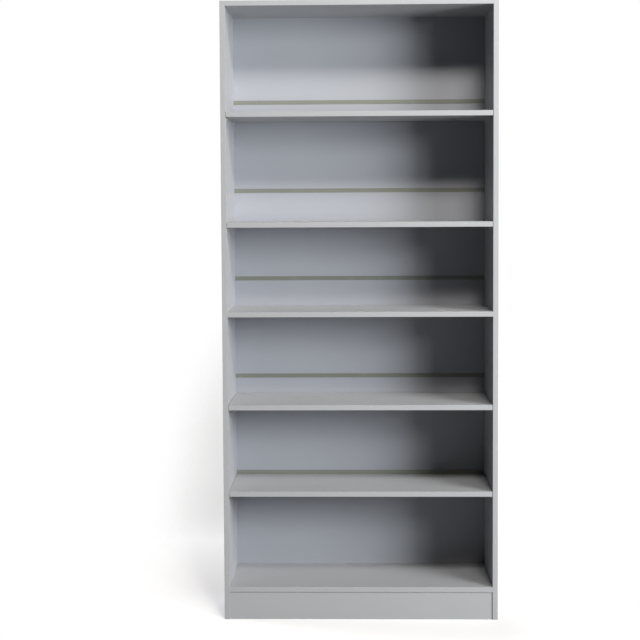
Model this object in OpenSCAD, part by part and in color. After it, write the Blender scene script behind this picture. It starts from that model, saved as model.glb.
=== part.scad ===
// Tall flat-pack bookcase with one fixed shelf and four adjustable shelves.
// Frame: +X to the right, +Y to the back, +Z up, origin on the floor under the middle of the case.

/* [Case] */
// Overall width over both side panels
case_w = 800; // [700:1:1000]
// Overall depth, front edge to the back of the joiner strips
case_d = 290; // [260:1:400]
// Height of the carcass, floor to the top panel's upper face
case_h = 1800; // [1780:1:1900]
// Thickness of every chipboard panel
board = 15; // [15:1:18]
// Thickness of the edge band glued to each front edge
band = 0.8; // [0.4:0.1:1]

/* [Plinth] */
// Height of the plinth board
plinth_h = 80; // [70:1:90]
// How far the plinth stands back from the front edges
plinth_recess = 3; // [1:1:6]
// Gap between the plinth and the bottom panel
plinth_gap = 1; // [0.5:0.5:2]

/* [Shelves] */
// Height of the fixed shelf's underside
fixed_shelf_z = 889; // [880:1:900]
// Undersides of the adjustable shelves, from the top down
shelf_undersides = [1468, 1149, 617, 363];
// Gap at each end of an adjustable shelf
shelf_end_gap = 1; // [0.5:0.5:2]
// How far an adjustable shelf stands back from the front edges
shelf_front_gap = 1; // [0:0.5:3]
// Gap behind an adjustable shelf, to the joiner strips
shelf_rear_gap = 2; // [1:1:10]
// Pitch of the shelf-pin holes
hole_pitch = 32; // [32:1:33]
// Holes above and below the one in use
hole_reach = 3; // [1:1:3]

/* [Back] */
// Thickness of the hardboard back
back_t = 3; // [2:0.5:4]
// Pitch of the three lower back panels
lower_section = 302; // [290:1:310]
// Width of the joiner strips' lips
joiner_h = 12.5; // [8:0.5:16]
// Thickness of the joiner strips' lips
joiner_lip = 1; // [0.8:0.1:1.5]

/* [Hidden] */
$fn = 32;
eps = 0.1; // how far a cutter starts outside the face that it cuts

// Colours
board_grey = [0.70, 0.71, 0.73];
band_grey = [0.74, 0.75, 0.77];
hardboard = [0.66, 0.67, 0.69];
joiner_olive = [0.50, 0.49, 0.44];
zinc = [0.72, 0.73, 0.74];
steel = [0.62, 0.63, 0.65];
beech = [0.80, 0.66, 0.47];
white_plastic = [0.88, 0.88, 0.86];

// Planes of the case
front_y = -case_d / 2;
rear_y = case_d / 2;
back_rear_y = rear_y - joiner_lip;
carcass_rear_y = back_rear_y - back_t;
core_front_y = front_y + band;
core_depth = carcass_rear_y - core_front_y;
inner_x = case_w / 2 - board;
inner_w = 2 * inner_x;
bottom_z = plinth_h + plinth_gap;
top_z = case_h - board;
joined_z = [top_z, fixed_shelf_z, bottom_z];

// Shelf pins and their holes
pin_r = 2.4;
pin_hole_r = 2.5;
pin_hole_depth = 10;
pin_shank = 9;
pin_inset = 37; // from the carcass's front and rear edges to the hole columns
pin_y = [front_y + pin_inset, carcass_rear_y - pin_inset];
pin_tongue = 10;
pin_tongue_t = 2.4;
pin_flange_t = 1.2;
pin_flange_drop = 8;
pin_rib_t = 2;

// Cam fittings: a bolt in each side panel, a turning cam in the joined panel
cam_y = [front_y + 50, carcass_rear_y - 50];
cam_inset = 34; // end of the panel to the cam's axis
cam_bore_r = 7.5;
cam_bore_depth = 12.6;
cam_r = 7.4;
cam_lift = 0.2; // cam's face inside the panel's underside
cam_top = 12.2;
cam_cavity_r = 5.5;
cam_cavity_rise = 0.8; // growth of the spiral cavity over one turn
cam_cavity_h = 6;
cam_slot_h = 4.2;
cam_mouth_r = 3.1;
bolt_thread = 10.8;
bolt_hole_r = 3;
bolt_hole_depth = 11.2;
bolt_bore_r = 3.5;
bolt_collar_r = 3.4;
bolt_shaft_r = 2.9;
bolt_shaft_end = 22;
bolt_neck_r = 1.8;
bolt_head_r = 2.7;
bolt_head_start = 29.4;
bolt_head_end = 32.4;

// Dowels
dowel_r = 4;
dowel_l = 30;
dowel_bore_r = 4.05;
dowel_side_depth = 11;
dowel_panel_depth = 21;
dowel_y = [cam_y[0] + 32, cam_y[1] - 32];
plinth_dowel_z = [20, 60];

// Plinth
plinth_front_y = front_y + plinth_recess;
plinth_rear_y = plinth_front_y + board;
block_x = [-260, 260];
block_w = 40;
block_leg = 22;
block_t = 4;
block_rib = 3;
block_screw_r = 1.75;
block_hole_r = 2;
block_screw_l = 16;

// Back panels and joiners
back_x = case_w / 2 - 3;
back_bottom = bottom_z + 1;
back_top = case_h - 2;
upper_section = (back_top - back_bottom - 3 * lower_section) / 3;
back_z = [ // edges of the six panels, from the bottom up
    for (i = [0:6]) back_bottom + min(i, 3) * lower_section + max(i - 3, 0) * upper_section
];
joiner_web = 1;
joiner_play = 0.2;
joiner_x = inner_x - 0.5;

// Back nails
nail_l = 20;
nail_r = 0.8;
nail_head_r = 2.2;
nail_head_t = 0.7;
nail_row = 5; // nails along each horizontal panel

// Wall brackets
bracket_x = 250;
bracket_w = 20;
bracket_t = 2;
bracket_leg = 28;
bracket_rise = 25;
bracket_bend = 3; // outer radius of the bend
bracket_hole_r = 2.5;
bracket_hole_z = 15; // above the top panel
bracket_screw_y = rear_y - 18;
bracket_screw_r = 1.75;
bracket_screw_l = 13;
bracket_sink_r = 3.4;

// A cylinder along X from x, towards side -1 or +1
module bore_x(x, y, z, r, depth, side) {
    translate([x - side * eps, y, z]) rotate([0, side * 90, 0]) cylinder(r = r, h = depth + eps);
}

// A closed zigzag outline for a turned screw: [radius, height] pairs between two heights
function ridges(low, high, core, crest, count) = [
    for (i = [0:2 * count]) [i % 2 == 0 ? core : crest, low + (high - low) * i / (2 * count)]
];

// ---- carcass panels ----

module side_panel(side) {
    color(board_grey) difference() {
        translate([side > 0 ? inner_x : -case_w / 2, core_front_y, 0])
            cube([board, core_depth, case_h]);
        for (under = shelf_undersides, n = [-hole_reach:hole_reach], y = pin_y)
            bore_x(side * inner_x, y, under - pin_tongue_t + n * hole_pitch,
                   pin_hole_r, pin_hole_depth, side);
        for (z = joined_z, y = cam_y)
            bore_x(side * inner_x, y, z + board / 2, bolt_hole_r, bolt_hole_depth, side);
        for (z = joined_z, y = dowel_y)
            bore_x(side * inner_x, y, z + board / 2, dowel_bore_r, dowel_side_depth, side);
        for (z = plinth_dowel_z)
            bore_x(side * inner_x, plinth_front_y + board / 2, z,
                   dowel_bore_r, dowel_side_depth, side);
    }
}

// A panel cammed between the sides, with its underside at z
module joined_panel(z) {
    color(board_grey) difference() {
        translate([-inner_x, core_front_y, z]) cube([inner_w, core_depth, board]);
        for (side = [-1, 1], y = cam_y) {
            translate([side * (inner_x - cam_inset), y, z - eps])
                cylinder(r = cam_bore_r, h = cam_bore_depth + eps);
            bore_x(side * inner_x, y, z + board / 2, bolt_bore_r, cam_inset - 2, -side);
        }
        for (side = [-1, 1], y = dowel_y)
            bore_x(side * inner_x, y, z + board / 2, dowel_bore_r, dowel_panel_depth, -side);
    }
}

module plinth() {
    color(board_grey) difference() {
        translate([-inner_x, plinth_front_y, 0]) cube([inner_w, board, plinth_h]);
        for (side = [-1, 1], z = plinth_dowel_z)
            bore_x(side * inner_x, plinth_front_y + board / 2, z,
                   dowel_bore_r, dowel_panel_depth, -side);
    }
}

module side_edge_band(side) {
    color(band_grey)
        translate([side > 0 ? inner_x : -case_w / 2, front_y, 0]) cube([board, band, case_h]);
}

module joined_edge_band(z) {
    color(band_grey) translate([-inner_x, front_y, z]) cube([inner_w, band, board]);
}

// ---- adjustable shelves ----

module adjustable_shelf(n) {
    front = front_y + shelf_front_gap + band;
    color(board_grey)
        translate([-inner_x + shelf_end_gap, front, shelf_undersides[n]])
            cube([inner_w - 2 * shelf_end_gap,
                  carcass_rear_y - joiner_lip - shelf_rear_gap - front, board]);
}

module shelf_edge_band(n) {
    color(band_grey)
        translate([-inner_x + shelf_end_gap, front_y + shelf_front_gap, shelf_undersides[n]])
            cube([inner_w - 2 * shelf_end_gap, band, board]);
}

// A spoon pin for the right-hand panel: its shank runs along +X from the panel's face
module shelf_pin() {
    rotate([0, 90, 0]) cylinder(r = pin_r, h = pin_shank);
    translate([-pin_flange_t, -pin_tongue / 2, -pin_flange_drop])
        cube([pin_flange_t, pin_tongue, pin_flange_drop + pin_tongue_t]);
    translate([-pin_tongue, -pin_tongue / 2, 0])
        cube([pin_tongue, pin_tongue, pin_tongue_t]);
    translate([0, pin_rib_t / 2, 0]) rotate([90, 0, 0])
        linear_extrude(pin_rib_t)
            polygon([[-pin_flange_t, -pin_flange_drop], [-pin_flange_t, 0.5],
                     [-pin_tongue + 1, 0.5], [-pin_tongue + 1, 0]]);
}

module shelf_pins(n) {
    color(steel)
        for (side = [-1, 1], y = pin_y)
            translate([side * inner_x, y, shelf_undersides[n] - pin_tongue_t])
                mirror([side > 0 ? 0 : 1, 0, 0]) shelf_pin();
}

// ---- cam fittings ----

// A cam with its face down at z = cam_lift and the bolt's axis at half the board, along +X
module cam() {
    wide = cam_r + 1;
    color(zinc) difference() {
        translate([0, 0, cam_lift]) cylinder(r = cam_r, h = cam_top - cam_lift);
        // spiral cavity whose wall draws the bolt's head in as the cam turns
        translate([0, 0, (board - cam_cavity_h) / 2]) linear_extrude(cam_cavity_h)
            polygon([for (a = [-90:15:255])
                (cam_cavity_r + cam_cavity_rise * (a + 90) / 360) * [cos(a), sin(a)]]);
        // slot in the wall that the bolt's neck runs in
        translate([0, 0, (board - cam_slot_h) / 2]) linear_extrude(cam_slot_h)
            polygon(concat([[0, 0]], [for (a = [-25:25:200]) wide * [cos(a), sin(a)]]));
        // mouth that takes the bolt's head when the cam is open
        translate([0, 0, board / 2]) rotate([0, -90, 0]) cylinder(r = cam_mouth_r, h = wide);
        // cross recess for the screwdriver
        for (turn = [0, 90])
            rotate([0, 0, turn]) translate([-4, -0.7, 0]) cube([8, 1.4, cam_lift + 2.2]);
        // arrow that points to the mouth
        linear_extrude(cam_lift + 0.4) polygon([[-6.6, 0], [-5, 0.9], [-5, -0.9]]);
    }
}

module placed_cam(z, side, y) {
    translate([side * (inner_x - cam_inset), y, z]) rotate([0, 0, side > 0 ? 0 : 180]) cam();
}

// A cam bolt along +Z from a side panel's face, its thread below
module cam_bolt() {
    rotate_extrude() polygon(concat(
        [[0, -bolt_thread], [1.4, -bolt_thread]],
        ridges(-bolt_thread + 0.8, -0.4, 2.3, 2.9, 5),
        [[2.3, 0], [bolt_collar_r, 0], [bolt_collar_r, 1.2], [bolt_shaft_r, 1.2],
         [bolt_shaft_r, bolt_shaft_end], [bolt_neck_r, bolt_shaft_end + 0.6],
         [bolt_neck_r, bolt_head_start], [bolt_head_r, bolt_head_start],
         [bolt_head_r, bolt_head_end - 0.8], [bolt_head_r - 0.8, bolt_head_end],
         [0, bolt_head_end]]));
}

module cam_bolts(z) {
    color(steel)
        for (side = [-1, 1], y = cam_y)
            translate([side * inner_x, y, z + board / 2]) rotate([0, -side * 90, 0]) cam_bolt();
}

// A dowel along +Z, with its side-panel end below the origin
module dowel() {
    low = 1 - dowel_side_depth;
    rotate_extrude() polygon([[0, low], [dowel_r - 1, low], [dowel_r, low + 1],
        [dowel_r, low + dowel_l - 1], [dowel_r - 1, low + dowel_l], [0, low + dowel_l]]);
}

module joined_dowels(z) {
    color(beech)
        for (side = [-1, 1], y = dowel_y)
            translate([side * inner_x, y, z + board / 2]) rotate([0, -side * 90, 0]) dowel();
}

module plinth_dowels() {
    color(beech)
        for (side = [-1, 1], z = plinth_dowel_z)
            translate([side * inner_x, plinth_front_y + board / 2, z])
                rotate([0, -side * 90, 0]) dowel();
}

// ---- plinth blocks ----

// A corner block under the bottom panel and behind the plinth
module plinth_blocks() {
    color(white_plastic)
        for (x = block_x) translate([x, plinth_rear_y, bottom_z]) difference() {
            union() {
                translate([-block_w / 2, 0, -block_t]) cube([block_w, block_leg, block_t]);
                translate([-block_w / 2, 0, -block_leg]) cube([block_w, block_t, block_leg]);
                for (rib = [-block_w / 2, -block_rib / 2, block_w / 2 - block_rib])
                    translate([rib, 0, 0]) rotate([90, 0, 90]) linear_extrude(block_rib)
                        polygon([[0, 0], [block_leg, 0], [block_leg, -block_t],
                                 [block_t, -block_leg], [0, -block_leg]]);
            }
            for (x2 = [-block_w / 4, block_w / 4]) {
                translate([x2, block_leg - 8, -block_t - eps])
                    cylinder(r = block_hole_r, h = block_t + 2 * eps);
                translate([x2, -eps, 12 - block_leg])
                    rotate([-90, 0, 0]) cylinder(r = block_hole_r, h = block_t + 2 * eps);
            }
        }
}

// A pan-head wood screw along +Z, the underside of its head at the origin
module pan_screw(r, l) {
    rotate_extrude() polygon(concat(
        [[0, -2], [1.4, -2], [3, -1.2], [3.2, 0], [r, 0]],
        ridges(3, l - 1.5, r, r - 0.5, 5),
        [[0, l]]));
}

module plinth_block_screws() {
    color(steel)
        for (x = block_x, x2 = [-block_w / 4, block_w / 4])
            translate([x + x2, plinth_rear_y, bottom_z]) {
                translate([0, block_leg - 8, -block_t]) pan_screw(block_screw_r, block_screw_l);
                translate([0, block_t, 12 - block_leg]) rotate([90, 0, 0])
                    pan_screw(block_screw_r, block_screw_l);
            }
}

// ---- back ----

// Back panel n from 1 at the bottom, between the joiner webs
module back_panel(n) {
    low = back_z[n - 1] + (n > 1 ? joiner_web / 2 + joiner_play : 0);
    high = back_z[n] - (n < 6 ? joiner_web / 2 + joiner_play : 0);
    color(hardboard) translate([-back_x, carcass_rear_y, low])
        cube([2 * back_x, back_t, high - low]);
}

// An H-section strip that holds panels n and n + 1
module back_joiner(n) {
    color(joiner_olive) translate([-joiner_x, 0, back_z[n]]) {
        for (y = [carcass_rear_y - joiner_lip, back_rear_y])
            translate([0, y, -joiner_h / 2]) cube([2 * joiner_x, joiner_lip, joiner_h]);
        translate([0, carcass_rear_y - eps, -joiner_web / 2])
            cube([2 * joiner_x, back_t + 2 * eps, joiner_web]);
    }
}

// A flat-head panel nail driven towards -Y, its head on the back panel's rear face
module back_nail() {
    rotate([90, 0, 0]) rotate_extrude() polygon([
        [0, -nail_head_t], [nail_head_r - 0.3, -nail_head_t], [nail_head_r, -nail_head_t + 0.3],
        [nail_head_r, 0], [nail_r, 0], [nail_r, nail_l - 2], [0, nail_l]]);
}

module back_nails() {
    row_step = (inner_w - 80) / (nail_row - 1);
    color(steel) {
        for (side = [-1, 1], n = [1:6], share = [1, 3, 5])
            translate([side * (case_w - board) / 2, back_rear_y,
                       back_z[n - 1] + (back_z[n] - back_z[n - 1]) * share / 6])
                back_nail();
        for (z = joined_z, i = [0:nail_row - 1])
            translate([-inner_w / 2 + 40 + i * row_step, back_rear_y, z + board / 2])
                back_nail();
    }
}

// ---- wall brackets ----

// An L bracket, its outer corner on the top panel's rear edge line, centred on x = 0
module wall_bracket() {
    color(zinc) difference() {
        translate([-bracket_w / 2, rear_y, case_h]) rotate([90, 0, 90])
            linear_extrude(bracket_w) union() {
                translate([-bracket_leg, 0]) square([bracket_leg - bracket_bend, bracket_t]);
                translate([-bracket_t, bracket_bend])
                    square([bracket_t, bracket_rise - bracket_bend]);
                intersection() {
                    translate([-bracket_bend, bracket_bend]) difference() {
                        circle(r = bracket_bend);
                        circle(r = bracket_bend - bracket_t);
                    }
                    translate([-bracket_bend, 0]) square(bracket_bend);
                }
            }
        translate([0, rear_y + eps, case_h + bracket_hole_z]) rotate([90, 0, 0])
            cylinder(r = bracket_hole_r, h = bracket_t + 2 * eps);
        translate([0, bracket_screw_y, case_h - eps])
            cylinder(r = bracket_screw_r + 0.2, h = bracket_t + 2 * eps);
        translate([0, bracket_screw_y, case_h + 0.4])
            cylinder(r1 = bracket_screw_r + 0.2, r2 = bracket_sink_r + 0.2, h = bracket_t - 0.4);
    }
}

// Countersunk screws through the brackets into the top panel
module wall_bracket_screws() {
    head = bracket_t - 0.5;
    color(steel)
        for (x = [-bracket_x, bracket_x])
            translate([x, bracket_screw_y, case_h + bracket_t]) mirror([0, 0, 1])
                rotate_extrude() polygon(concat(
                    [[0, 0.1], [bracket_sink_r - 0.1, 0.1], [bracket_screw_r, head]],
                    ridges(head + 1, bracket_screw_l - 1.5,
                           bracket_screw_r, bracket_screw_r - 0.5, 4),
                    [[0, bracket_screw_l]]));
}

// ---- the nodes ----

side_panel(-1);  // left_side_panel
side_panel(1);  // right_side_panel
joined_panel(top_z);  // top_panel
joined_panel(fixed_shelf_z);  // fixed_shelf
joined_panel(bottom_z);  // bottom_panel
plinth();
side_edge_band(-1);  // left_edge_band
side_edge_band(1);  // right_edge_band
joined_edge_band(top_z);  // top_edge_band
joined_edge_band(fixed_shelf_z);  // fixed_shelf_edge_band
joined_edge_band(bottom_z);  // bottom_edge_band
for (n = [1:4]) {
    adjustable_shelf(n - 1);
    shelf_edge_band(n - 1);
    shelf_pins(n - 1);
}
for (n = [1:6])
    back_panel(n);
for (n = [1:5])
    back_joiner(n);
back_nails();
for (place = [["top", top_z], ["fixed", fixed_shelf_z], ["bottom", bottom_z]]) {
    for (side = [["left", -1], ["right", 1]], end = [["front", 0], ["rear", 1]])
        placed_cam(place[1], side[1], cam_y[end[1]]);
    cam_bolts(place[1]);
    joined_dowels(place[1]);
}
plinth_dowels();
plinth_blocks();
plinth_block_screws();
translate([-bracket_x, 0, 0]) wall_bracket();  // left_wall_bracket
translate([bracket_x, 0, 0]) wall_bracket();  // right_wall_bracket
wall_bracket_screws();
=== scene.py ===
"""The looks of a tall grey flat-pack bookcase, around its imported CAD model. Metres, +Z up."""

import math

import bpy
from mathutils import Matrix, Vector


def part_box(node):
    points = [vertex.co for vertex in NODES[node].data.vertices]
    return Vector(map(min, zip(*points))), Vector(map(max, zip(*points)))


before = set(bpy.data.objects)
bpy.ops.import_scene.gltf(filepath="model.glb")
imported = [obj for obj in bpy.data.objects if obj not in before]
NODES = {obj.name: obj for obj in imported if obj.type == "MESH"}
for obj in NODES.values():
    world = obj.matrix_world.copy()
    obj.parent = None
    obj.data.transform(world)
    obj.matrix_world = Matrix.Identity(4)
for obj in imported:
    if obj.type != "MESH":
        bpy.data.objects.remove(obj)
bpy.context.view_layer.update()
MM = 0.001
X, Y, Z = range(3)

# ---- camera, in front of the case and turned a little down ----

CAMERA_AT = (-0.008, -4.361, 1.215)
CAMERA_YAW, CAMERA_PITCH, CAMERA_ROLL = 1.457, 3.400, -0.293  # degrees
LENS_MM = 82.09
SENSOR_MM = 36.0
SHIFT_Y = -0.045  # a larger one would cut off the top of the case in views from other sides

camera = bpy.data.objects.new("camera", bpy.data.cameras.new("camera"))
bpy.context.scene.collection.objects.link(camera)
camera.data.sensor_width = SENSOR_MM
camera.data.lens = LENS_MM
camera.data.shift_y = SHIFT_Y
camera.matrix_world = (
    Matrix.Translation(CAMERA_AT)
    @ Matrix.Rotation(math.radians(CAMERA_YAW), 4, "Z")
    @ Matrix.Rotation(math.radians(90 - CAMERA_PITCH), 4, "X")
    @ Matrix.Rotation(math.radians(CAMERA_ROLL), 4, "Z")
)
bpy.context.scene.camera = camera
bpy.context.scene.view_settings.view_transform = "Standard"
bpy.context.scene.view_settings.look = "None"

# ---- node helpers ----


def srgb(r, g, b):
    """A linear RGBA colour from 8-bit sRGB numbers."""

    def one(v):
        v /= 255
        return v / 12.92 if v <= 0.04045 else ((v + 0.055) / 1.055) ** 2.4

    return (one(r), one(g), one(b), 1.0)


def socket_name(key):
    return key.replace("_", " ")


class Graph:
    """One material's node tree, with a short call for each kind of node.

    The words given to Graph() and done() are the shader's own sockets: Base_Color is "Base Color".
    """

    def __init__(self, name, **surface):
        self.material = bpy.data.materials.new(name)
        self.material.use_nodes = True
        self.nodes = self.material.node_tree.nodes
        self.links = self.material.node_tree.links
        self.shader = self.nodes["Principled BSDF"]
        for key, value in surface.items():
            self.shader.inputs[socket_name(key)].default_value = value
        self.place = self.nodes.new("ShaderNodeTexCoord").outputs["Object"]

    def put(self, socket, value):
        """Links a socket to another one, or gives it a plain value."""
        if isinstance(value, bpy.types.NodeSocket):
            self.links.new(value, socket)
        else:
            socket.default_value = value

    def math(self, operation, a, b):
        n = self.nodes.new("ShaderNodeMath")
        n.operation = operation
        self.put(n.inputs[0], a)
        self.put(n.inputs[1], b)
        return n.outputs[0]

    def split(self, vector):
        n = self.nodes.new("ShaderNodeSeparateXYZ")
        self.links.new(vector, n.inputs[0])
        return n.outputs

    def stretched(self, factors):
        """The place, with each axis scaled: a small factor draws a pattern out along its axis."""
        n = self.nodes.new("ShaderNodeVectorMath")
        n.operation = "MULTIPLY"
        self.links.new(self.place, n.inputs[0])
        n.inputs[1].default_value = factors
        return n.outputs[0]

    def noise(self, per_metre, detail=2.0, vector=None):
        """Soft noise from 0 to 1, mostly between 0.3 and 0.7."""
        n = self.nodes.new("ShaderNodeTexNoise")
        self.links.new(vector or self.place, n.inputs["Vector"])
        n.inputs["Scale"].default_value = per_metre
        n.inputs["Detail"].default_value = detail
        return n.outputs["Fac"]

    def cells(self, per_metre, vector=None):
        """One random value from 0 to 1 for each cell of a Voronoi pattern."""
        n = self.nodes.new("ShaderNodeTexVoronoi")
        self.links.new(vector or self.place, n.inputs["Vector"])
        n.inputs["Scale"].default_value = per_metre
        return self.split(n.outputs["Color"])[0]

    def ramp(self, value, low, high, to_low=0.0, to_high=1.0):
        """A smooth step: to_low where the value is under low, and to_high where it is over high."""
        n = self.nodes.new("ShaderNodeMapRange")
        n.interpolation_type = "SMOOTHSTEP"
        for socket, v in zip(n.inputs, (value, low, high, to_low, to_high)):
            self.put(socket, v)
        return n.outputs[0]

    def either(self, share, a, b):
        """Number a where the share is 0, and number b where it is 1."""
        return self.ramp(share, 0.0, 1.0, a, b)

    def mix(self, share, a, b):
        """Colour a where the share is 0, and colour b where it is 1."""
        n = self.nodes.new("ShaderNodeMix")
        n.data_type = "RGBA"
        colours = [s for s in n.inputs if s.type == "RGBA"]
        self.put(n.inputs[0], share)
        self.put(colours[0], a)
        self.put(colours[1], b)
        return n.outputs[2]

    def bump(self, height, depth):
        n = self.nodes.new("ShaderNodeBump")
        n.inputs["Distance"].default_value = depth
        self.put(n.inputs["Height"], height)
        return n.outputs[0]

    def done(self, **sockets):
        for key, value in sockets.items():
            self.put(self.shader.inputs[socket_name(key)], value)
        return self.material


# ---- boards, bands and the back ----

FOIL = srgb(155, 157, 161)
FOIL_SHADE = srgb(151, 153, 157)
SIDE_FOIL = srgb(154, 156, 162)
SIDE_SHADE = srgb(150, 152, 158)
BACK_PRINT = srgb(152, 155, 163)
BACK_PRINT_SHADE = srgb(148, 151, 159)
FOIL_PALE = srgb(164, 166, 169)
FOIL_WORN = srgb(186, 187, 187)
FOIL_SHEEN = {"Sheen_Weight": 0.12, "Sheen_Roughness": 0.5}
FOIL_ROUGHNESS, BAND_ROUGHNESS, PRINT_ROUGHNESS = 0.43, 0.35, 0.5
FOIL_THICKNESS = 0.35 * MM
PEARL_DEPTH = 0.02 * MM
WEAR_SHARE = 0.35  # at an arris, from WEAR_FULL to WEAR_GONE away from it
WEAR_FULL, WEAR_GONE = 0.3 * MM, 2.0 * MM

CHIP_PALE = srgb(206, 176, 132)
CHIP_DARK = srgb(158, 122, 80)
CHIP_SPECK = srgb(98, 70, 44)
CHIP_FLATNESS = 3.0  # a flake's width over its thickness
CHIP_ROUGHNESS = 0.88
CHIP_DEPTH = 0.15 * MM

HARDBOARD = srgb(150, 111, 76)
HARDBOARD_PALE = srgb(163, 125, 89)
HARDBOARD_DARK = srgb(116, 82, 53)
PRINT_THICKNESS = 0.3 * MM
FIBRE_STRETCH = 0.22
FIBRE_DEPTH = 0.06 * MM
PRINTED_FIBRE = 0.2  # of the depth that bare fibres have

BAND_STRETCH = 0.02
BAND_LINE_DEPTH = 0.012 * MM

JOINER = srgb(111, 114, 106)
JOINER_PALE = srgb(122, 125, 116)
JOINER_DUST = srgb(144, 146, 140)
JOINER_STRETCH = 0.015
JOINER_LINE_DEPTH = 0.03 * MM


def depths_inside(g, low, high):
    """How far the place is inside a box, along each axis."""
    place = g.split(g.place)
    return [
        g.math(
            "MINIMUM",
            g.math("SUBTRACT", place[a], low[a]),
            g.math("SUBTRACT", high[a], place[a]),
        )
        for a in (X, Y, Z)
    ]


def middle(g, a, b, c):
    """The middle one of three values. On a box's face, the middle depth leads to the nearest edge."""
    upper = g.math("MINIMUM", g.math("MAXIMUM", a, b), c)
    return g.math("MAXIMUM", g.math("MINIMUM", a, b), upper)


def foil_tone(g, pale, shade):
    """Printed grey: slow drifts of tone, and the fine speckle of the paper."""
    drift = g.mix(g.noise(per_metre=2.4, detail=3), pale, shade)
    speckle = g.ramp(g.noise(per_metre=900), 0.52, 0.72, 0.0, 0.16)
    return g.mix(speckle, drift, FOIL_PALE)


def foil_roughness(g, base):
    """Satin lacquer, duller in a few handled patches."""
    satin = g.ramp(g.noise(per_metre=260), 0.3, 0.7, base - 0.02, base + 0.02)
    handled = g.ramp(g.noise(per_metre=7, detail=5), 0.48, 0.7, 0.0, 0.07)
    return g.math("ADD", satin, handled)


def board(name, thickness_axis, pale=FOIL, shade=FOIL_SHADE, covered_top=False):
    """Melamine foil on a board's two faces, and raw chipboard in its holes and on its bare edges."""
    low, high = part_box(name)
    g = Graph("melamine_board_" + name, **FOIL_SHEEN)
    depths = depths_inside(g, low, high)
    under_foil = depths[thickness_axis]
    if covered_top:
        below_top = g.math("SUBTRACT", high[Z], g.split(g.place)[Z])
        under_foil = g.math("MINIMUM", under_foil, below_top)
    core = g.ramp(under_foil, FOIL_THICKNESS, 1.2 * FOIL_THICKNESS)

    wear = g.ramp(middle(g, *depths), WEAR_FULL, WEAR_GONE, WEAR_SHARE, 0.0)
    patches = g.ramp(g.noise(per_metre=120, detail=4), 0.5, 0.68)
    foil = g.mix(g.math("MULTIPLY", wear, patches), foil_tone(g, pale, shade), FOIL_WORN)

    factors = [1.0, 1.0, 1.0]
    factors[thickness_axis] = CHIP_FLATNESS
    flat = g.stretched(factors)
    flakes = g.cells(per_metre=420, vector=flat)
    specks = g.ramp(g.cells(per_metre=700, vector=flat), 0.86, 0.94)
    chips = g.mix(specks, g.mix(flakes, CHIP_PALE, CHIP_DARK), CHIP_SPECK)

    pearl = g.math("MULTIPLY", g.noise(per_metre=620), PEARL_DEPTH / CHIP_DEPTH)
    return g.done(
        Base_Color=g.mix(core, foil, chips),
        Roughness=g.either(core, foil_roughness(g, FOIL_ROUGHNESS), CHIP_ROUGHNESS),
        Normal=g.bump(g.either(core, pearl, flakes), CHIP_DEPTH),
    )


def edge_band(name, along):
    """Grey edging tape, with the fine lines of its extrusion along it and a few scuffs."""
    g = Graph("edge_band_" + name)
    factors = [1.0, 1.0, 1.0]
    factors[along] = BAND_STRETCH
    lines = g.noise(per_metre=1500, vector=g.stretched(factors))
    tone = g.mix(g.ramp(lines, 0.4, 0.75, 0.0, 0.25), foil_tone(g, FOIL, FOIL_SHADE), FOIL_PALE)
    scuffs = g.ramp(g.noise(per_metre=90, detail=5), 0.62, 0.74, 0.0, 0.35)
    return g.done(
        Base_Color=g.mix(scuffs, tone, FOIL_WORN),
        Roughness=g.math("ADD", foil_roughness(g, BAND_ROUGHNESS), g.math("MULTIPLY", scuffs, 0.3)),
        Normal=g.bump(lines, BAND_LINE_DEPTH),
    )


def hardboard(front_face):
    """A thin fibre sheet: printed grey in front, and bare brown fibre behind and at its edges."""
    g = Graph("hardboard")
    behind_face = g.math("SUBTRACT", g.split(g.place)[Y], front_face)
    bare = g.ramp(behind_face, PRINT_THICKNESS, PRINT_THICKNESS + 0.1 * MM)

    upright = g.noise(per_metre=800, detail=3, vector=g.stretched((1.0, 1.0, FIBRE_STRETCH)))
    level = g.noise(per_metre=700, detail=3, vector=g.stretched((FIBRE_STRETCH, 1.0, 1.0)))
    fibres = g.math("MAXIMUM", upright, level)
    print_tone = foil_tone(g, BACK_PRINT, BACK_PRINT_SHADE)
    printed = g.mix(g.ramp(fibres, 0.5, 0.75, 0.0, 0.3), print_tone, BACK_PRINT_SHADE)

    blotches = g.mix(g.noise(per_metre=6, detail=5), HARDBOARD, HARDBOARD_PALE)
    brown = g.mix(g.ramp(fibres, 0.5, 0.75, 0.0, 0.55), blotches, HARDBOARD_DARK)
    shives = g.ramp(g.cells(per_metre=420), 0.93, 0.98, 0.0, 0.5)
    brown = g.mix(shives, brown, HARDBOARD_DARK)
    brown_roughness = g.ramp(fibres, 0.4, 0.7, 0.62, 0.8)
    return g.done(
        Base_Color=g.mix(bare, printed, brown),
        Roughness=g.either(bare, foil_roughness(g, PRINT_ROUGHNESS), brown_roughness),
        Normal=g.bump(g.either(bare, g.math("MULTIPLY", fibres, PRINTED_FIBRE), fibres), FIBRE_DEPTH),
    )


def joiner_plastic():
    """Olive-grey extruded strip, with its drawing lines along it and a film of dust."""
    g = Graph("joiner_plastic")
    lines = g.noise(per_metre=1100, detail=3, vector=g.stretched((JOINER_STRETCH, 1.0, 1.0)))
    tone = g.mix(lines, JOINER, JOINER_PALE)
    dust = g.ramp(g.noise(per_metre=34, detail=5), 0.55, 0.75, 0.0, 0.2)
    return g.done(
        Base_Color=g.mix(dust, tone, JOINER_DUST),
        Roughness=g.ramp(g.noise(per_metre=60, detail=3), 0.3, 0.7, 0.34, 0.46),
        Normal=g.bump(lines, JOINER_LINE_DEPTH),
    )


# ---- fittings ----

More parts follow.
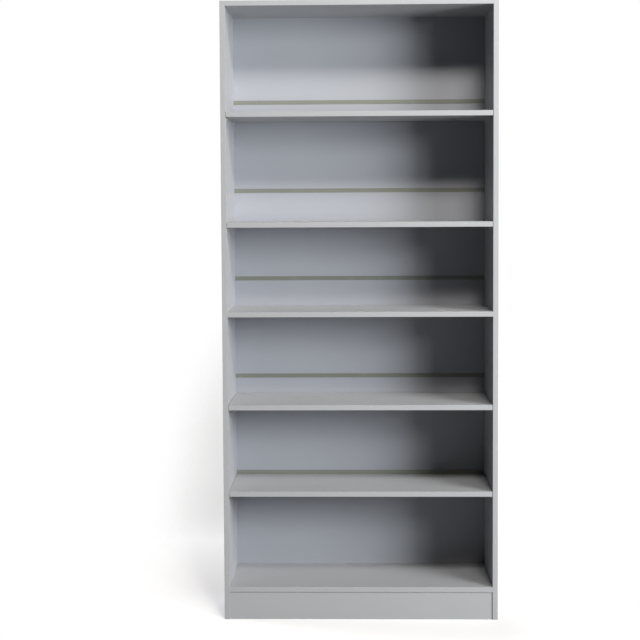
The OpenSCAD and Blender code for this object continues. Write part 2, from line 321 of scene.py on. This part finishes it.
METALLIC = 0.8  # under 1, since small metal parts would mostly mirror the dark between the lights
BRACKET_METALLIC = 0.7
CRYSTAL = srgb(176, 181, 187)
CRYSTAL_PALE = srgb(202, 206, 209)
CRYSTAL_STAIN = srgb(150, 152, 152)
NYLON = srgb(226, 224, 217)
NYLON_HANDLED = srgb(205, 202, 193)
BEECH = srgb(218, 188, 146)
BEECH_GRAIN = srgb(190, 154, 108)
BEECH_FLECK = srgb(142, 100, 62)


def metal(name, bright, dull, smooth, rough, grain_per_metre, grain_depth):
    """A metal skin: plated tone that drifts to dull, with its own grain."""
    g = Graph(name, Metallic=METALLIC)
    stain = g.ramp(g.noise(per_metre=130, detail=5), 0.42, 0.66)
    grain = g.noise(grain_per_metre, detail=3)
    mean = g.math("MULTIPLY", g.math("ADD", stain, grain), 0.5)
    return g.done(
        Base_Color=g.mix(stain, bright, dull),
        Roughness=g.ramp(mean, 0.2, 0.8, smooth, rough),
        Normal=g.bump(grain, grain_depth),
    )


def bracket_zinc():
    """Galvanised sheet: flat crystals a few millimetres wide, each with its own sheen."""
    g = Graph("bracket_zinc", Metallic=BRACKET_METALLIC)
    crystal = g.cells(per_metre=230)
    stain = g.ramp(g.noise(per_metre=70, detail=4), 0.55, 0.72, 0.0, 0.5)
    tone = g.mix(crystal, CRYSTAL, CRYSTAL_PALE)
    return g.done(
        Base_Color=g.mix(stain, tone, CRYSTAL_STAIN),
        Roughness=g.either(crystal, 0.28, 0.5),
        Normal=g.bump(g.noise(per_metre=900), 0.02 * MM),
    )


def block_plastic():
    """White moulded nylon with a spark-eroded texture, greyed a little by handling."""
    g = Graph("block_plastic")
    handled = g.ramp(g.noise(per_metre=55, detail=4), 0.5, 0.75, 0.0, 0.5)
    return g.done(
        Base_Color=g.mix(handled, NYLON, NYLON_HANDLED),
        Roughness=g.ramp(g.noise(per_metre=300), 0.3, 0.7, 0.42, 0.56),
        Normal=g.bump(g.noise(per_metre=1600), 0.03 * MM),
    )


def dowel_wood():
    """Beech with its grain along X, and short dark flecks."""
    g = Graph("dowel_wood")
    grain = g.noise(per_metre=600, detail=4, vector=g.stretched((0.08, 1.0, 1.0)))
    flecks = g.noise(per_metre=900, vector=g.stretched((0.25, 1.0, 1.0)))
    tone = g.mix(grain, BEECH, BEECH_GRAIN)
    return g.done(
        Base_Color=g.mix(g.ramp(flecks, 0.6, 0.7, 0.0, 0.6), tone, BEECH_FLECK),
        Roughness=g.ramp(grain, 0.3, 0.7, 0.6, 0.75),
        Normal=g.bump(grain, 0.08 * MM),
    )


# ---- edges ----

ON_FACE = 0.01 * MM  # nearer than this to the box's side counts as on it
WELD = 0.01 * MM
SHARP = math.radians(40)
SPLIT = math.radians(50)


def modifier(node, kind, **settings):
    made = node.modifiers.new(kind.lower(), kind)
    for key, value in settings.items():
        setattr(made, key, value)


def mark_box_edges(node):
    """Gives a bevel weight to the edges that run along the node's own box, and to no others."""
    low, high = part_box(node.name)
    mesh = node.data
    sides = [
        {
            (axis, end)
            for axis in (X, Y, Z)
            for end, limit in enumerate((low, high))
            if abs(vertex.co[axis] - limit[axis]) < ON_FACE
        }
        for vertex in mesh.vertices
    ]
    weight = mesh.attributes.new("bevel_weight_edge", "FLOAT", "EDGE")
    for edge in mesh.edges:
        start, end = edge.vertices
        if len(sides[start] & sides[end]) == 2:
            weight.data[edge.index].value = 1.0


def soften(node, radius, box_edges=True):
    """Rounds a part's outer edges, or all of its sharp ones, so that they catch the light."""
    limit = {"limit_method": "ANGLE", "angle_limit": SHARP}
    if box_edges:
        mark_box_edges(node)
        limit = {"limit_method": "WEIGHT"}
    modifier(node, "WELD", merge_threshold=WELD)
    modifier(node, "BEVEL", width=radius, segments=2, **limit)
    modifier(node, "EDGE_SPLIT", split_angle=SPLIT)
    modifier(node, "WEIGHTED_NORMAL")


def dress(names, material):
    for name in names:
        for slot in NODES[name].material_slots:
            slot.material = material


def named(word):
    """The nodes whose names hold the word."""
    return [n for n in sorted(NODES) if word in n]


# ---- dress every node ----

BOARD_EDGE = 0.35 * MM
BAND_EDGE = 0.3 * MM
STRIP_EDGE = 0.15 * MM
FITTING_EDGE = 0.3 * MM

side_panels = ["left_side_panel", "right_side_panel"]
level_boards = ["top_panel", "fixed_shelf", "bottom_panel", *named("adjustable_shelf")]
upright_bands = ["left_edge_band", "right_edge_band"]
level_bands = [n for n in named("edge_band") if n not in upright_bands]
back_panels = named("back_panel")
joiners = named("back_joiner")
brackets = ["left_wall_bracket", "right_wall_bracket"]
cam_bolts = named("_cam_bolts")
cams = [n for n in named("_cam_") if n not in cam_bolts]

for name in side_panels:
    dress([name], board(name, X, SIDE_FOIL, SIDE_SHADE, covered_top=True))
for name in level_boards:
    dress([name], board(name, Z))
dress(["plinth"], board("plinth", Y))
dress(upright_bands, edge_band("upright", Z))
dress(level_bands, edge_band("level", X))
dress(back_panels, hardboard(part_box("back_panel_1")[0][Y]))
dress(joiners, joiner_plastic())
dress(brackets, bracket_zinc())
dress(["plinth_blocks"], block_plastic())
dress(named("_dowels"), dowel_wood())

PLATED, PLATED_DULL = srgb(206, 205, 200), srgb(172, 170, 162)
ZINC, ZINC_DULL = srgb(186, 188, 191), srgb(150, 152, 153)
WIRE, WIRE_DULL = srgb(128, 127, 125), srgb(92, 84, 76)
METALS = [
    # nodes, material, bright and dull tone, least and most roughness, grain per metre and its depth
    (named("_pins"), "pin_steel", PLATED, PLATED_DULL, 0.38, 0.52, 900, 0.01 * MM),
    (cams, "cam_zinc", ZINC, ZINC_DULL, 0.42, 0.6, 1500, 0.03 * MM),
    (cam_bolts, "bolt_steel", PLATED, ZINC_DULL, 0.3, 0.45, 1200, 0.01 * MM),
    (named("_screws"), "screw_steel", PLATED, ZINC_DULL, 0.28, 0.42, 1200, 0.01 * MM),
    (["back_nails"], "nail_steel", WIRE, WIRE_DULL, 0.4, 0.62, 1200, 0.02 * MM),
]
for metal_nodes, *finish in METALS:
    dress(metal_nodes, metal(*finish))

for name in (*side_panels, *level_boards, "plinth"):
    soften(NODES[name], BOARD_EDGE)
for name in (*upright_bands, *level_bands, *back_panels):
    soften(NODES[name], BAND_EDGE)
for name in joiners:
    soften(NODES[name], STRIP_EDGE)
for name in (*brackets, "plinth_blocks"):
    soften(NODES[name], FITTING_EDGE, box_edges=False)

# ---- stage: a pale sweep for the camera, and a floor that only bounces light ----

STAGE_HALF = 6.0
STAGE_DROP = 0.5 * MM  # keeps the sweep clear of the case's feet, and the bounce clear of the sweep
SWEEP_BEHIND = 1.2  # from the object's middle to the sweep's wall
SWEEP_BEND = 0.35
SWEEP_TOP = 4.0
BEND_STEPS = 12
PAPER = srgb(238, 238, 239)
PAPER_SHADE = srgb(234, 234, 236)
SWEEP_SHARE, BOUNCE_SHARE = 0.9, 0.32  # how solid the paper is: the rest lets everything through
SWEEP_GLOW = 0.12
SWEEP_REACH = (0.88, 3.4, 1.25)  # where the sweep has faded out along X, Y and Z
BOUNCE_REACH = (4.5, 4.5, 4.5)
FADE_FROM, FADE_TO = 0.6, 0.97  # shares of the reach


def stage_sheet(name, profile, material):
    """A sheet as wide as the stage, drawn along a profile of (y, z) points."""
    mesh = bpy.data.meshes.new(name)
    corners = [(x, y, z - STAGE_DROP) for y, z in profile for x in (-STAGE_HALF, STAGE_HALF)]
    faces = [(2 * i, 2 * i + 1, 2 * i + 3, 2 * i + 2) for i in range(len(profile) - 1)]
    mesh.from_pydata(corners, [], faces)
    mesh.shade_smooth()
    mesh.materials.append(material)
    sheet = bpy.data.objects.new(name, mesh)
    bpy.context.scene.collection.objects.link(sheet)
    return sheet


def paper(name, share, reach, glow=0.0):
    """White paper, thinned so that shadows stay pale, that fades out at its reach and has no back."""
    g = Graph(name, Roughness=0.9, Emission_Color=PAPER, Emission_Strength=glow)
    away = g.nodes.new("ShaderNodeVectorMath")
    away.operation = "LENGTH"
    g.links.new(g.stretched([1 / r for r in reach]), away.inputs[0])
    seen = g.ramp(away.outputs["Value"], FADE_FROM, FADE_TO, share, 0.0)
    from_behind = g.nodes.new("ShaderNodeNewGeometry").outputs["Backfacing"]
    seen = g.math("MULTIPLY", seen, g.math("SUBTRACT", 1.0, from_behind))
    return g.done(Base_Color=g.mix(g.noise(per_metre=1.5), PAPER, PAPER_SHADE), Alpha=seen)


def sweep():
    """The floor and the wall behind it, joined by a bend. Only the camera sees it, from its front."""
    turns = [math.radians(90 * i / BEND_STEPS) for i in range(BEND_STEPS + 1)]
    bend_from = SWEEP_BEHIND - SWEEP_BEND
    bend = [(bend_from + SWEEP_BEND * math.sin(t), SWEEP_BEND * (1 - math.cos(t))) for t in turns]
    profile = [(-STAGE_HALF, 0.0), *bend, (SWEEP_BEHIND, SWEEP_TOP)]
    sheet = stage_sheet("sweep", profile, paper("sweep_paper", SWEEP_SHARE, SWEEP_REACH, SWEEP_GLOW))
    sheet.visible_diffuse = sheet.visible_glossy = sheet.visible_shadow = False


def bounce():
    """The floor as the object's lighting meets it, which the camera doesn't see."""
    profile = [(-STAGE_HALF, -STAGE_DROP), (STAGE_HALF, -STAGE_DROP)]
    sheet = stage_sheet("bounce", profile, paper("bounce_paper", BOUNCE_SHARE, BOUNCE_REACH))
    sheet.visible_camera = False


def surround():
    """A white world for the camera to see, which lights nothing."""
    world = bpy.data.worlds.new("surround")
    bpy.context.scene.world = world
    world.use_nodes = True
    world.node_tree.nodes["Background"].inputs["Color"].default_value = (1, 1, 1, 1)
    seen_by = world.cycles_visibility
    seen_by.diffuse = seen_by.glossy = seen_by.transmission = seen_by.scatter = False


sweep()
bounce()
surround()

# ---- lights ----

AIM = Vector((0, 0, 0.9))  # the middle of the case
WHITE, COOL, GREENISH = (1.0, 1.0, 1.0), (0.98, 1.0, 1.0), (0.99, 1.0, 0.98)
WARM, WARMER = (1.0, 0.98, 0.92), (1.0, 0.88, 0.78)
# The high keys throw the shelves' shadow lines on the back, and the two at the right leave the
# right inner corners dark. The rest light what these don't reach: back, left side and top.
SOFTBOXES = [
    # name, azimuth in degrees, distance, height, width, tall, watts, colour
    ("key", 14, 2.9, 3.45, 1.0, 0.55, 80, WARM),
    ("key_far", 10, 4.5, 4.3, 0.6, 0.5, 56, WARMER),
    ("side", 51, 5.0, 1.3, 2.3, 0.9, 218, COOL),
    ("side_upper", 42, 5.0, 2.3, 1.9, 0.9, 143, GREENISH),
    ("rear", 190, 3.3, 1.9, 2.0, 1.6, 70, WHITE),
    ("rear_left", 255, 3.2, 1.5, 1.2, 1.8, 80, WHITE),
    ("overhead", 180, 0.05, 2.5, 0.6, 0.2, 6, WHITE),
]


def softbox(name, azimuth, distance, height, width, tall, watts, colour):
    """An area light that faces AIM. Azimuth 0 is in front of the case, and 90 is at its right."""
    turn = math.radians(azimuth)
    data = bpy.data.lights.new(name, "AREA")
    data.shape = "RECTANGLE"
    data.size, data.size_y = width, tall
    data.energy = watts
    data.color = colour
    light = bpy.data.objects.new(name, data)
    bpy.context.scene.collection.objects.link(light)
    light.location = (distance * math.sin(turn), -distance * math.cos(turn), height)
    light.rotation_euler = (AIM - light.location).to_track_quat("-Z", "Y").to_euler()
    light.visible_camera = False


for numbers in SOFTBOXES:
    softbox(*numbers)

# ---- bring the scene up to date ----

bpy.context.view_layer.update()
